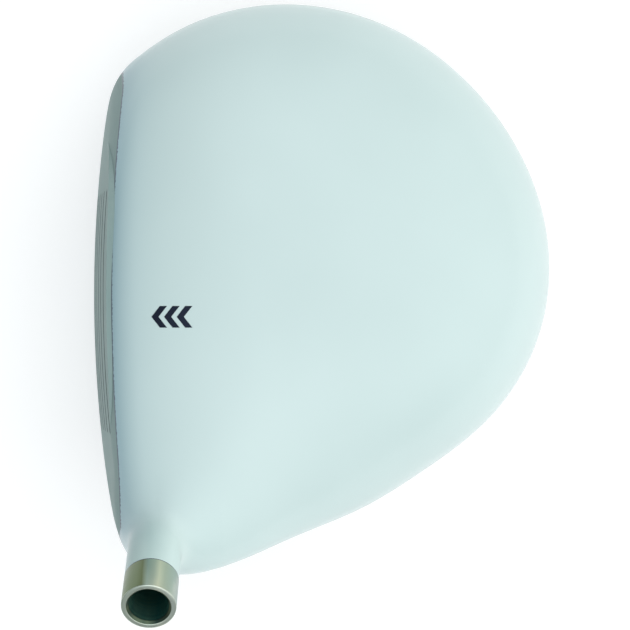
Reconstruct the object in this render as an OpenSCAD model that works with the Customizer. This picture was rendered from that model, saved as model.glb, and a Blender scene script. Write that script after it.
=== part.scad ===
// Golf driver head, right-handed, without its shaft.
// Origin: middle of the flat rest on the sole. +Y to the rear, +X to the heel, +Z up, the face looks to -Y.

/* [Shell] */
// Height of the crown above the ground over the origin
crown_height = 59; // [56:0.5:62]
// Height of the widest line of the body over the origin
widest_height = 28; // [25:0.5:31]
// Wall of the crown
crown_wall = 0.8; // [0.6:0.1:1.2]
// Wall of the skirt
skirt_wall = 1; // [0.8:0.1:1.4]
// Wall of the sole
sole_wall = 1.2; // [1:0.1:1.6]

/* [Face] */
// Loft of the face in degrees
loft = 9.5; // [8:0.5:12]
// Radius of the face from heel to toe
bulge = 320; // [280:10:360]
// Radius of the face from crown to sole
roll = 280; // [250:10:330]
// Thickness of the face frame
frame_thick = 2.6; // [2.6:0.1:3]
// Thickness of the face insert
insert_thick = 3; // [2.6:0.1:3.4]
// Number of score lines
score_count = 7; // [3:1:7]

/* [Hosel] */
// Lie angle of the hosel above the ground in degrees
lie = 58.5; // [57:0.5:60]
// Radius of the bore for the shaft tip
bore_r = 4.31; // [4.2:0.01:4.5]
// Radius of the bare collar
collar_r = 6; // [5.8:0.1:6.4]
// Length of the bare collar
collar_length = 9.2; // [7:0.1:11]
// Depth of the bore down to the plug
bore_depth = 32; // [28:0.5:33]

/* [Weight] */
// Radius of the weight screw's head
screw_head_r = 6.6; // [6:0.1:6.8]
// Radius of the weight screw's thread
screw_r = 4; // [3.5:0.1:4.5]
// Length of the weight screw's thread
screw_length = 8; // [6:0.5:9]

/* [Hidden] */
$fn = 96;

// Distance from the origin to the widest line, every 20 degrees from the heel round by the rear.
// The last seven carry the outline on past the face, which cuts them off.
outline = [56, 54, 53, 58, 62.5, 65, 66, 67, 68.5, 68.5, 67, 63, 64, 70, 71, 72, 72, 70.5];
plan_power = 2.4;
rest_q = 0.26;
crown_seam = 78;
sole_seam = 116;
gap = 0.02;
// Lift of the inner pieces, which covers the flats of the sole's inside
seat_lift = 0.2;
steps = 22;

// Plan outline and the heights of the shell

function cubic(f, a, b, c, d) =
    ((1 - f) ^ 3 * a + (3 * f ^ 3 - 6 * f ^ 2 + 4) * b
        + (1 + 3 * f + 3 * f ^ 2 - 3 * f ^ 3) * c + f ^ 3 * d) / 6;
function turn_of(a) = a - 360 * floor(a / 360);
function outline_r(a) =
    let (n = len(outline), t = turn_of(a) * n / 360, i = floor(t))
    cubic(t - i, outline[(i + n - 1) % n], outline[i % n], outline[(i + 1) % n], outline[(i + 2) % n]);

// The widest line climbs towards the heel, where the neck starts
heel_at = [64, -20];
heel_spread = 22;
heel_rise = 14;
function mid_z(x, y) =
    widest_height - 0.01 * x - 0.05 * y
    + heel_rise * exp(-((x - heel_at[0]) ^ 2 + (y - heel_at[1]) ^ 2) / (2 * heel_spread ^ 2));
// The crown falls off towards the face
front_fall = 3;
fall_from = -5;
fall_length = 33;
function top_z(y) = crown_height - 0.03 * y - front_fall * (max(0, fall_from - y) / fall_length) ^ 2;
// The sole is full behind the face and sweeps up towards the rear
function sole_slack(y) = 0.66 + 0.24 * y / norm([y, 40]);
function sole_curve(q, y) = (1 - q ^ plan_power) ^ sole_slack(y);

// A point of the shell, drop under its surface: a is the turn in plan, p runs from 0 at the top of
// the crown through 90 at the widest line to 180 at the middle of the sole
function shell_point(a, p, drop) =
    let (q = min(1, sin(p) ^ (2 / plan_power)), r = q * (outline_r(a) - drop))
    let (x = r * cos(a), y = r * sin(a), e = mid_z(x, y))
    let (low = drop + (e - drop) * (1 - sole_curve(q, y) / sole_curve(rest_q, y)))
    [x, y, p < 90 ? e + (top_z(y) - drop - e) * cos(p) : max(low, drop)];
function sole_z(x, y, drop) =
    let (q = min(1, norm([x, y]) / (outline_r(atan2(y, x)) - drop)), e = mid_z(x, y))
    drop + max(0, (e - drop) * (1 - sole_curve(q, y) / sole_curve(rest_q, y)));
function crown_z(x, y, drop) =
    let (q = min(1, norm([x, y]) / (outline_r(atan2(y, x)) - drop)), e = mid_z(x, y))
    e + (top_z(y) - drop - e) * sqrt(1 - q ^ plan_power);

// Below 1 inside the shell, above 1 outside it
function level(p) =
    let (e = mid_z(p[0], p[1]), q = norm([p[0], p[1]]) / outline_r(atan2(p[1], p[0])))
    q ^ plan_power + (p[2] > e ? ((p[2] - e) / (top_z(p[1]) - e)) ^ 2
        : ((e - p[2]) * sole_curve(rest_q, p[1]) / e) ^ (1 / sole_slack(p[1])));

// The face, set back by depth
face_mid = [2, 31];
face_front = -43.3;
bulge_x = 0;
roll_z = 30;
function face_y(x, z, depth) =
    face_front + depth + tan(loft) * (z - roll_z)
    + (x - bulge_x) ^ 2 / (2 * bulge) + (z - roll_z) ^ 2 / (2 * roll);
seam_depth = frame_thick + gap;
function behind_face(p) = p[1] > face_y(p[0], p[2], seam_depth);

// Largest step of p away from "from" that stays behind the face, at most as far as "to"
function cut_p(a, from, to, drop, i = 0) =
    i == 0 && behind_face(shell_point(a, to, drop)) ? to
    : i == steps ? from
    : let (m = (from + to) / 2)
        behind_face(shell_point(a, m, drop)) ? cut_p(a, m, to, drop, i + 1) : cut_p(a, from, m, drop, i + 1);
// Turn at which the line at p meets the face, between a turn behind it and one in front of it
function cut_a(p, back, front, drop, i = 0) =
    i == steps ? back
    : let (m = (back + front) / 2)
        behind_face(shell_point(m, p, drop)) ? cut_a(p, m, front, drop, i + 1)
        : cut_a(p, back, m, drop, i + 1);
rear_turn = 90;
front_turn = 270;
function toe_turn(p, drop = 0) = cut_a(p, rear_turn, front_turn, drop);
function heel_turn(p, drop = 0) = cut_a(p, rear_turn, front_turn - 360, drop);
rear_columns = 42;
front_columns = 32;
function turns(p) =
    let (h = heel_turn(p), t = toe_turn(p))
    [for (i = [0 : rear_columns - 1]) h + (t - h) * i / rear_columns,
        for (i = [0 : front_columns - 1]) t + (360 + h - t) * i / front_columns];

// Solids from rows of points

function flip(faces, on) = [for (f = faces) on ? [f[2], f[1], f[0]] : f];
// A closed solid between an outer and an inner bowl. Each bowl is a tip and then rings of n points.
module bowl(outer_tip, outer, inner_tip, inner, flipped = false) {
    n = len(outer[0]);
    outer_first = 1;
    inner_first = 1 + n * len(outer);
    inner_tip_at = inner_first + n * len(inner);
    points = [outer_tip, for (r = outer) for (p = r) p, for (r = inner) for (p = r) p, inner_tip];
    outer_last = outer_first + n * (len(outer) - 1);
    inner_last = inner_first + n * (len(inner) - 1);
    fans = [for (i = [0 : n - 1]) let (j = (i + 1) % n)
        each [[0, outer_first + j, outer_first + i], [inner_tip_at, inner_first + i, inner_first + j],
            [outer_last + i, outer_last + j, inner_last + j],
            [outer_last + i, inner_last + j, inner_last + i]]];
    outer_skin = [for (r = [1 : 1 : len(outer) - 1]) for (i = [0 : n - 1])
        let (j = (i + 1) % n, a = outer_first + n * (r - 1), b = a + n)
        each [[a + i, a + j, b + j], [a + i, b + j, b + i]]];
    inner_skin = [for (r = [1 : 1 : len(inner) - 1]) for (i = [0 : n - 1])
        let (j = (i + 1) % n, a = inner_first + n * (r - 1), b = a + n)
        each [[a + i, b + j, a + j], [a + i, b + i, b + j]]];
    polyhedron(points, flip(concat(fans, outer_skin, inner_skin), flipped));
}
// A closed solid through sections, each a loop of the same number of points
module sweep(sections, ring = false, flipped = false) {
    n = len(sections[0]);
    last = len(sections) - 1;
    walls = [for (s = [0 : last - (ring ? 0 : 1)]) for (i = [0 : n - 1])
        let (j = (i + 1) % n, a = s * n, b = ((s + 1) % (last + 1)) * n)
        each [[a + i, a + j, b + j], [a + i, b + j, b + i]]];
    strip = [for (i = [0 : n / 2 - 2]) [i, i + 1, n - 2 - i, n - 1 - i]];
    caps = ring ? [] : [for (q = strip)
        each [[q[0], q[2], q[1]], [q[0], q[3], q[2]],
            [q[0] + last * n, q[1] + last * n, q[2] + last * n],
            [q[0] + last * n, q[2] + last * n, q[3] + last * n]]];
    polyhedron([for (s = sections) for (p = s) p], flip(concat(walls, caps), flipped));
}

// Hosel: its own axis is +Z from the mouth down to negative heights

mouth = [67.8, -27.5, 72];
axis = [cos(lie), 0, sin(lie)];
across = [-sin(lie), 0, cos(lie)];
module on_hosel() translate(mouth) rotate([0, 90 - lie, 0]) children();
tube_r = collar_r - 0.7;
tube_length = bore_depth + 3;
plug_r = bore_r + 0.3;
neck_root = 30;
neck_cone = 74;
root = mouth - neck_root * axis;

// Signed distance, about, from the shell with its face cut off, and from the hosel
gap_scale = 0.85;
function shell_gap(p) =
    let (e = mid_z(p[0], p[1]), u = sqrt(level(p)))
    max(norm(p - [0, 0, e]) * (1 - 1 / max(u, 0.01)) * gap_scale, face_y(p[0], p[2], 0) - p[1]);
function hosel_gap(p) = norm(cross(p - mouth, axis)) - collar_r;
// The neck runs into the shell in a hollow curve, which is wider behind the hosel
function neck_blend(y) = 9 + 0.4 * min(max(0, y - mouth[1]), 15);
function neck_gap(p) =
    let (s = shell_gap(p), h = hosel_gap(p), blend = neck_blend(p[1]), t = max(blend - abs(s - h), 0))
    min(s, h) - t * t / (4 * blend);
function neck_ray(c, a) = axis * cos(c) + (across * cos(a) + [0, 1, 0] * sin(a)) * sin(c);
function neck_reach(d, near, far, i = 0) =
    i == steps ? near
    : let (m = (near + far) / 2)
        neck_gap(root + d * m) < 0 ? neck_reach(d, m, far, i + 1) : neck_reach(d, near, m, i + 1);

// What the neck takes out of the shells around it: a cone about the hosel, open upwards
module neck_space() {
    on_hosel() translate([0, 0, -neck_root])
        cylinder(h = neck_root, r1 = 0, r2 = neck_root * tan(neck_cone));
    on_hosel() translate([0, 0, -tube_length - 1]) cylinder(h = tube_length, r = tube_r + 0.1);
}

module hosel_neck() {
    columns = 48;
    top_c = atan(collar_r / (neck_root - collar_length));
    rows = 10;
    inner_rows = 5;
    wall = 1.2;
    near = 3;
    far = 40;
    inner_tip = 14;
    function cone(k) = top_c + (neck_cone - 0.1 - top_c) * (k / rows) ^ 1.2;
    function ring(k, drop) = [for (i = [0 : columns - 1]) let (d = neck_ray(cone(k), 360 * i / columns))
        root + d * (k == 0 ? collar_r / sin(top_c) : neck_reach(d, near, far) - drop)];
    outer = [for (k = [0 : rows]) ring(k, 0)];
    inner = [for (k = [rows - inner_rows : rows]) ring(k, wall)];
    color("white") difference() {
        bowl(mouth - collar_length * axis, outer, root + axis * inner_tip, inner, true);
        on_hosel() translate([0, 0, -tube_length]) cylinder(h = tube_length, r = tube_r + gap);
    }
}

module hosel_tube() color("darkgray") on_hosel() {
    rim = 0.3;
    lead_in = 0.6;
    mouth_r = bore_r + 0.5;
    rotate_extrude() polygon([[plug_r, -tube_length], [tube_r, -tube_length], [tube_r, -collar_length],
        [collar_r, -collar_length], [collar_r, -rim], [collar_r - rim, 0], [mouth_r, 0], [bore_r, -lead_in],
        [bore_r, -bore_depth], [plug_r, -bore_depth]]);
}

module hosel_plug() color("dimgray") on_hosel()
    translate([0, 0, -tube_length]) cylinder(h = tube_length - bore_depth - gap, r = plug_r - gap);

module hosel_brace() color("silver") {
    thick = 2;
    reach = 8;
    near = mouth[1] - thick / 2;
    far = mouth[1] + thick / 2;
    seat = sole_wall + seat_lift;
    foot = root - 9 * axis;
    top = foot[2] + 3.4;
    difference() {
        sweep([for (x = [foot[0] - reach : reach / 4 : foot[0] + reach])
            [[x, near, sole_z(x, mouth[1], seat)], [x, near, top], [x, far, top], [x, far, sole_z(x, far, seat)]]],
            flipped = true);
        on_hosel() translate([0, 0, -tube_length - gap]) cylinder(h = tube_length, r = tube_r + gap);
    }
}

// Shells

module crown_plate() color("white") {
    rows = 11;
    list = turns(crown_seam);
    outer = [for (k = [1 : rows]) [for (a = list) shell_point(a, cut_p(a, 0, crown_seam, 0) * k / rows, 0)]];
    inner = [for (k = [1 : rows])
        [for (a = list) shell_point(a, cut_p(a, 0, crown_seam, crown_wall) * k / rows, crown_wall)]];
    difference() {
        bowl([0, 0, top_z(0)], outer, [0, 0, top_z(0) - crown_wall], inner);
        neck_space();
    }
}

module skirt_band() {
    rows = 6;
    columns = 44;
    function line(k) = crown_seam + 0.05 + (sole_seam - crown_seam - 0.1) * k / rows;
    function spot(i, k, drop) =
        let (p = line(k), h = heel_turn(p, drop), t = toe_turn(p, drop))
        shell_point(h + (t - h) * i / columns, p, drop);
    color("white") difference() {
        sweep([for (i = [0 : columns])
            [for (k = [0 : rows]) spot(i, k, 0), for (k = [rows : -1 : 0]) spot(i, k, skirt_wall)]]);
        neck_space();
    }
}

module sole_plate() {
    rows = 8;
    below = 5;
    list = turns(sole_seam);
    rest_p = 180 - asin(rest_q ^ (plan_power / 2));
    function line(a, k, drop) =
        let (end = cut_p(a, rest_p, sole_seam, drop))
        shell_point(a, rest_p + (end - rest_p) * k / rows, drop);
    color("lightgray") difference() {
        bowl([0, 0, 0], [for (k = [0 : rows]) [for (a = list) line(a, k, 0)]],
            [0, 0, sole_wall], [for (k = [0 : rows]) [for (a = list) line(a, k, sole_wall)]], true);
        on_port() translate([0, 0, -below]) cylinder(h = 3 * below, r = port_r + gap);
        neck_space();
    }
}

// Face

// How far the face reaches from its middle, along a turn in the plane of x and z, at a depth behind it
function face_reach(a, depth, near = 5, far = 75, i = 0) =
    i == steps ? near
    : let (m = (near + far) / 2, x = face_mid[0] + m * cos(a), z = face_mid[1] + m * sin(a))
        level([x, face_y(x, z, depth), z]) < 1 && z > 0 ? face_reach(a, depth, m, far, i + 1)
        : face_reach(a, depth, near, m, i + 1);
function face_point(a, r, depth) =
    let (x = face_mid[0] + r * cos(a), z = face_mid[1] + r * sin(a)) [x, face_y(x, z, depth), z];
insert_size = [39, 21.5];
insert_power = 2.8;
function insert_reach(a) =
    (abs(cos(a) / insert_size[0]) ^ insert_power
        + abs(sin(a) / insert_size[1]) ^ insert_power) ^ (-1 / insert_power);

module face_frame() color("darkgray") {
    columns = 72;
    difference() {
        sweep([for (i = [0 : columns - 1]) let (a = 360 * i / columns, r = insert_reach(a) + gap)
            let (front = face_reach(a, 0), back = face_reach(a, frame_thick), middle = frame_thick / 2)
            [face_point(a, r, 0), face_point(a, (r + front) / 2, 0), face_point(a, front, 0),
                face_point(a, face_reach(a, middle), middle), face_point(a, back, frame_thick),
                face_point(a, (r + back) / 2, frame_thick), face_point(a, r, frame_thick)]],
            ring = true, flipped = true);
        neck_space();
    }
}

score_span = [-23.5, 32];
score_top = 47.5;
score_pitch = 5;
score_width = 0.9;
score_depth = 0.35;
// A bar that follows the bulge, sunk between two depths below the face
module score_bar(z, width, shallow, deep) {
    left = asin((score_span[0] - bulge_x) / bulge);
    right = asin((score_span[1] - bulge_x) / bulge);
    translate([bulge_x, face_y(bulge_x, z, 0) + bulge, z - width / 2]) rotate([0, 0, 270 + left])
        rotate_extrude(angle = right - left, $fn = 720)
            translate([bulge - deep, 0]) square([deep - shallow, width]);
}

module face_insert() {
    columns = 48;
    rows = 5;
    function ring(k, depth) =
        [for (i = [0 : columns - 1]) let (a = 360 * i / columns)
            face_point(a, insert_reach(a) * k / rows, depth)];
    color("silver") difference() {
        bowl(face_point(0, 0, 0), [for (k = [1 : rows]) ring(k, 0)],
            face_point(0, 0, insert_thick), [for (k = [1 : 2 : rows]) ring(k, insert_thick)], true);
        for (i = [0 : score_count - 1]) score_bar(score_top - score_pitch * i, score_width, -1, score_depth);
    }
}

module score_line_fill() color("black") {
    sunk = 0.1;
    for (i = [0 : score_count - 1])
        score_bar(score_top - score_pitch * i, score_width - 2 * gap, sunk, score_depth - gap);
}

// Mark on the crown: three plain chevrons that point to the face

module alignment_mark() {
    size = [5, 9.4];
    at = [5.4, -23.5];
    film = 0.12;
    cells = 8;
    half = 2.4;
    back = 1.9;
    bar = 1.6;
    pitch = 2.85;
    first = -4.6;
    function height(i, j, lift) =
        let (x = at[0] + size[0] * (i / cells - 0.5), y = at[1] + size[1] * (j / cells - 0.5))
        [x, y, crown_z(x, y, 0) + lift];
    function section(i) =
        [for (j = [0 : cells]) height(i, j, gap), for (j = [cells : -1 : 0]) height(i, j, film)];
    color("midnightblue") intersection() {
        sweep([for (i = [0 : cells]) section(i)]);
        translate([at[0], at[1], 0]) linear_extrude(2 * crown_height)
            for (k = [0 : 2]) translate([0, first + pitch * k]) polygon([[0, 0], [half, back],
                [half, back + bar], [0, bar], [-half, back + bar], [-half, back]]);
    }
}

// Ribs and pads inside the sole

module rib(from, to, height) {
    count = 10;
    thick = 1;
    along = (to - from) / norm(to - from);
    side = [-along[1], along[0]] * thick / 2;
    sweep([for (i = [0 : count]) let (p = from + (to - from) * i / count, l = p - side, r = p + side)
        let (rise = height * sqrt(sin(180 * (i + 0.5) / (count + 1))))
        let (seat = sole_wall + seat_lift)
        [[l[0], l[1], sole_z(l[0], l[1], seat)], [l[0], l[1], sole_z(l[0], l[1], sole_wall) + rise],
            [r[0], r[1], sole_z(r[0], r[1], sole_wall) + rise], [r[0], r[1], sole_z(r[0], r[1], seat)]]],
        flipped = true);
}
module toe_rib() color("silver") rib([-50, -22], [-28, 30], 5);
module centre_rib() color("silver") rib([0, -34], [0, 22], 6);
module heel_rib() color("silver") rib([34, -30], [24, 30], 5);

module rear_weight_pad() color("silver") {
    from = 68;
    to = 112;
    count = 10;
    seat = sole_wall + seat_lift;
    deep = sole_wall + 3;
    near = 128;
    far = 116;
    sweep([for (i = [0 : count]) let (a = from + (to - from) * i / count)
        [shell_point(a, near, seat), shell_point(a, (near + far) / 2, seat), shell_point(a, far, seat),
            shell_point(a, far, deep), shell_point(a, (near + far) / 2, deep), shell_point(a, near, deep)]]);
}

module hot_melt_pad() {
    at = [38, 5];
    size = [5, 9];
    columns = 24;
    rows = 4;
    thick = 3;
    edge = 0.3;
    function spot(i, k, top) =
        let (a = 360 * i / columns, r = k / rows)
        let (x = at[0] + size[0] * r * cos(a), y = at[1] + size[1] * r * sin(a))
        [x, y, sole_z(x, y, sole_wall + seat_lift) + (top ? edge + thick * (1 - r ^ 2) : 0)];
    function rings(top) = [for (k = [1 : rows]) [for (i = [0 : columns - 1]) spot(i, k, top)]];
    color("khaki") bowl(spot(0, 0, true), rings(true), spot(0, 0, false), rings(false));
}

// Weight port: its own axis is +Z into the head

port_at = [0, 40];
port_tilt = 24;
port_r = 9.5;
seat_z = 4.6;
washer_thick = 0.6;
port_low = 0.3;
head_low = 0.6;
thread_pitch = 1.25;
module on_port()
    translate([port_at[0], port_at[1], sole_z(port_at[0], port_at[1], 0)]) rotate([port_tilt, 0, 0])
        children();

module weight_port() color("darkgray") on_port() {
    cup_r = screw_head_r + 0.5;
    thread_r = screw_r + 0.06;
    boss_r = thread_r + 2;
    rim = 3;
    shoulder = seat_z + 1.6;
    bottom = seat_z + screw_length + 0.8;
    top = seat_z + screw_length + 2;
    rotate_extrude() polygon([[cup_r, port_low], [port_r, port_low], [port_r, rim], [cup_r + 1, shoulder],
        [boss_r, shoulder], [boss_r, top], [0, top], [0, bottom], [thread_r, bottom], [thread_r, seat_z],
        [cup_r, seat_z]]);
}

module weight_washer() color("black") on_port() translate([0, 0, seat_z - washer_thick - gap])
    linear_extrude(washer_thick) difference() {
        circle(screw_head_r);
        circle(screw_r + 0.1);
    }

module weight_screw() color("dimgray") on_port() {
    under_head = seat_z - washer_thick - 2 * gap;
    turns = floor(screw_length / thread_pitch);
    root_r = screw_r - 0.6;
    bevel = 0.5;
    tip = under_head + screw_length;
    shank = [for (i = [0 : turns - 1]) let (z = under_head + i * thread_pitch)
        each [[root_r, z + 0.2 * thread_pitch], [screw_r, z + 0.5 * thread_pitch],
            [screw_r, z + 0.6 * thread_pitch], [root_r, z + 0.9 * thread_pitch]]];
    head = [[0, head_low], [screw_head_r - bevel, head_low], [screw_head_r, head_low + bevel],
        [screw_head_r, under_head], [root_r, under_head]];
    socket_depth = 2.8;
    socket_r = 2.9;
    difference() {
        rotate_extrude() polygon(concat(head, shank, [[root_r, tip], [0, tip]]));
        translate([0, 0, head_low - 1]) cylinder(h = socket_depth + 1, r = socket_r, $fn = 6);
    }
}

crown_plate();
skirt_band();
sole_plate();
face_frame();
face_insert();
score_line_fill();
hosel_neck();
hosel_tube();
hosel_plug();
hosel_brace();
alignment_mark();
toe_rib();
centre_rib();
heel_rib();
rear_weight_pad();
hot_melt_pad();
weight_port();
weight_washer();
weight_screw();
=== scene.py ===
"""Looks of the driver head: painted body, bare face and collar, sole, and the weight screw."""

from math import cos, pi, radians, sin, tan

import bpy
import numpy as np
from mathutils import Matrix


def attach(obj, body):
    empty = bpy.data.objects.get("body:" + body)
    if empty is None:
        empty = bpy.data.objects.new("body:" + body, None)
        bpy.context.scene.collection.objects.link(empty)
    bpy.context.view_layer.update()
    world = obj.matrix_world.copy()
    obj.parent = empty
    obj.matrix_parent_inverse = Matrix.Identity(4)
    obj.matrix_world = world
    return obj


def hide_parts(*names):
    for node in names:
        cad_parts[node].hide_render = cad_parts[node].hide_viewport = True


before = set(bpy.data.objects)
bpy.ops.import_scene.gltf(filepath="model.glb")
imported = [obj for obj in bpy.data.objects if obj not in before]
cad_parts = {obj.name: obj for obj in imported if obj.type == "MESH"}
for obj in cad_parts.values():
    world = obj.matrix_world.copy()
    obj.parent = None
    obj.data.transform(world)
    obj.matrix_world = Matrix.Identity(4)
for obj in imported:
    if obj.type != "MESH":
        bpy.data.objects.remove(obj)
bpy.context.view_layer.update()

MM = 0.001

# ---------------------------------------------------------------------------------------------
# The head's shape, as in the CAD source. Lengths are in millimetres up to make_object().

OUTLINE = np.array([56, 54, 53, 58, 62.5, 65, 66, 67, 68.5, 68.5, 67, 63, 64, 70, 71, 72, 72, 70.5])
PLAN_POWER = 2.4
REST_Q = 0.26
CROWN_HEIGHT = 59
WIDEST_HEIGHT = 28
CROWN_SEAM = radians(78)
SOLE_SEAM = radians(116)
LOFT_SLOPE = tan(radians(9.5))
BULGE = 320
ROLL = 280
FACE_FRONT = -43.3
ROLL_Z = 30
FRAME_DEPTH = 2.62
FACE_THICK = 3
LIE = radians(58.5)
MOUTH = np.array([67.8, -27.5, 72])
AXIS = np.array([cos(LIE), 0, sin(LIE)])
ACROSS = np.array([-sin(LIE), 0, cos(LIE)])
ROOT = MOUTH - 30 * AXIS
COLLAR_R = 6
COLLAR_LENGTH = 9.2
NECK_CONE = radians(74)
NECK_BLEND = 9
HOSEL_END = 36
LEADING_EDGE = 2.5
TOP_EDGE = 6
GAP_SCALE = 0.85
PORT_TILT = radians(24)
PORT_R = 9.5
# Further than any seam line reaches
FAR = 40


def cubic(f, a, b, c, d):
    """A smooth curve that four points pull on, at the fraction f between the middle two"""
    pull_b = 3 * f**3 - 6 * f**2 + 4
    pull_c = 1 + 3 * f + 3 * f**2 - 3 * f**3
    return ((1 - f) ** 3 * a + pull_b * b + pull_c * c + f**3 * d) / 6


def outline_r(turn):
    """Distance from the middle to the widest line, at a turn in plan"""
    count = len(OUTLINE)
    place = turn * count / (2 * pi) % count
    i = np.floor(place).astype(int)
    return cubic(place - i, *(OUTLINE[(i + k) % count] for k in (-1, 0, 1, 2)))


def mid_z(x, y):
    """Height of the widest line, which rises at the hosel"""
    near_heel = np.exp(-((x - 64) ** 2 + (y + 20) ** 2) / (2 * 22**2))
    return WIDEST_HEIGHT - 0.01 * x - 0.05 * y + 14 * near_heel


def top_z(y):
    """Height of the crown's ridge, which falls to the face"""
    return CROWN_HEIGHT - 0.03 * y - 3 * (np.maximum(0, -5 - y) / 33) ** 2


def plan_q(x, y):
    """0 at the middle and 1 at the widest line"""
    return np.hypot(x, y) / outline_r(np.arctan2(y, x))


def sole_slack(y):
    """How full the sole is: fuller to the rear"""
    return 0.66 + 0.24 * y / np.hypot(y, 40)


def sole_curve(q, y):
    return (1 - np.minimum(q, 1) ** PLAN_POWER) ** sole_slack(y)


def crown_z(x, y):
    e = mid_z(x, y)
    return e + (top_z(y) - e) * np.sqrt(1 - np.minimum(plan_q(x, y), 1) ** PLAN_POWER)


def sole_z(x, y):
    return np.maximum(0, mid_z(x, y) * (1 - sole_curve(plan_q(x, y), y) / sole_curve(REST_Q, y)))


def face_y(x, z, depth=0):
    """The lofted face with its bulge and roll, or a surface at a depth behind it"""
    up = z - ROLL_Z
    return FACE_FRONT + depth + LOFT_SLOPE * up + x**2 / (2 * BULGE) + up**2 / (2 * ROLL)


def smooth_step(t):
    """From 0 to 1 with no corners"""
    t = np.clip(t, 0, 1)
    return t * t * (3 - 2 * t)


def soft_max(a, b, k):
    """The larger of two, with the corner between them rounded over a width k"""
    return np.maximum(a, b) + np.maximum(k - np.abs(a - b), 0) ** 2 / (4 * k)


def soft_min(a, b, k):
    return -soft_max(-a, -b, k)


def shell_gap(p):
    """Negative inside the crown, skirt and sole, about in millimetres near them"""
    x, y, z = p.T
    e = mid_z(x, y)
    up = np.maximum(z - e, 0) / (top_z(y) - e)
    down = np.maximum(e - z, 0) * sole_curve(REST_Q, y) / e
    level = plan_q(x, y) ** PLAN_POWER + up**2 + down ** (1 / sole_slack(y))
    return np.sqrt(x**2 + y**2 + (z - e) ** 2) * (1 - 1 / np.sqrt(np.maximum(level, 1e-4))) * GAP_SCALE


def hosel_down(p):
    """Distance down the hosel from its mouth"""
    return (MOUTH - p) @ AXIS


def hosel_gap(p):
    return np.linalg.norm(np.cross(p - MOUTH, AXIS), axis=1) - COLLAR_R


def head_gap(p):
    """Negative inside the whole head"""
    shell = soft_max(shell_gap(p), -p[:, 2], 0.5)
    edge = LEADING_EDGE + (TOP_EDGE - LEADING_EDGE) * smooth_step((p[:, 2] - 22) / 22)
    body = soft_max(shell, face_y(p[:, 0], p[:, 2]) - p[:, 1], edge)
    hosel = soft_max(hosel_gap(p), hosel_down(p) - HOSEL_END, 6)
    behind = np.clip(p[:, 1] - MOUTH[1], 0, 15)
    return soft_min(body, hosel, NECK_BLEND + 0.4 * behind)


def slope_of(f, p, step=0.02):
    """f's gradient at each point"""
    sides = []
    for k in range(3):
        d = np.zeros(3)
        d[k] = step
        sides.append((f(p + d) - f(p - d)) / (2 * step))
    return np.stack(sides, 1)


def onto(p, f, rounds=3):
    """p moved along f's slope to where f is zero"""
    for _ in range(rounds):
        g = slope_of(f, p)
        p = p - g * (f(p) / np.maximum((g**2).sum(1), 1e-9))[:, None]
    return p


def onto_both(p, surface, line, rounds=4):
    """p moved to where surface and line are both zero"""
    for _ in range(rounds):
        p = onto(p, surface, 1)
        n = slope_of(surface, p)
        n /= np.linalg.norm(n, axis=1)[:, None]
        g = slope_of(line, p)
        g -= n * (g * n).sum(1)[:, None]
        p = p - g * (line(p) / np.maximum((g**2).sum(1), 1e-6))[:, None]
    return onto(p, surface, 1)


# ---------------------------------------------------------------------------------------------
# A skin of triangles over the head, cut along its seams and paint lines

CORNERS = np.array([[i, j, k] for i in (0, 1) for j in (0, 1) for k in (0, 1)])


def surface_net(f, low, high, step):
    """Points and triangles on f = 0 inside a box, one point for each cell that the surface crosses"""
    axes = [np.arange(a, b, step) for a, b in zip(low, high)]
    grid = np.stack(np.meshgrid(*axes, indexing="ij"), -1)
    size = grid.shape[:3]
    value = f(grid.reshape(-1, 3)).reshape(size)
    inside = value < 0
    cells = [n - 1 for n in size]

    def corner(a, c):
        return a[c[0] : c[0] + cells[0], c[1] : c[1] + cells[1], c[2] : c[2] + cells[2]]

    # A cell holds a point at the middle of the places where the surface crosses its edges
    count = sum(corner(inside, c).astype(int) for c in CORNERS)
    mixed = (count > 0) & (count < len(CORNERS))
    number = -np.ones(cells, int)
    number[mixed] = np.arange(mixed.sum())
    base = np.argwhere(mixed)
    total = np.zeros((len(base), 3))
    hits = np.zeros(len(base))
    for a in CORNERS:
        for b in CORNERS:
            if (b - a).sum() == 1 and (b - a).min() == 0:
                va, vb = corner(value, a)[mixed], corner(value, b)[mixed]
                cross = (va < 0) != (vb < 0)
                t = np.where(cross, va / np.where(cross, va - vb, 1), 0)
                total += np.where(cross[:, None], a + t[:, None] * (b - a), 0)
                hits += cross
    points = np.array(low) + (base + total / hits[:, None]) * step
    # Each edge of the grid that the surface crosses gives a quad between the four cells round it
    tris = []
    for k in range(3):
        i, j = (k + 1) % 3, (k + 2) % 3
        ahead = np.roll(inside, -1, k)
        for on_first in (True, False):
            edge = (inside != ahead) & (inside == on_first)
            at = np.argwhere(edge)
            at = at[(at[:, k] < cells[k]) & (at.min(1) >= 0)]
            at = at[(at[:, i] > 0) & (at[:, i] < cells[i]) & (at[:, j] > 0) & (at[:, j] < cells[j])]
            ring = []
            for di, dj in ((-1, -1), (0, -1), (0, 0), (-1, 0)):
                cell = at.copy()
                cell[:, i] += di
                cell[:, j] += dj
                ring.append(number[tuple(cell.T)])
            quad = np.stack(ring if on_first else ring[::-1], 1)
            flat = np.linalg.norm(points[quad[:, 0]] - points[quad[:, 2]], axis=1)
            other = np.linalg.norm(points[quad[:, 1]] - points[quad[:, 3]], axis=1)
            turned = np.where((flat < other)[:, None], quad, np.roll(quad, -1, 1))
            tris += [turned[:, [0, 1, 2]], turned[:, [0, 2, 3]]]
    return points, np.concatenate(tris)


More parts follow.
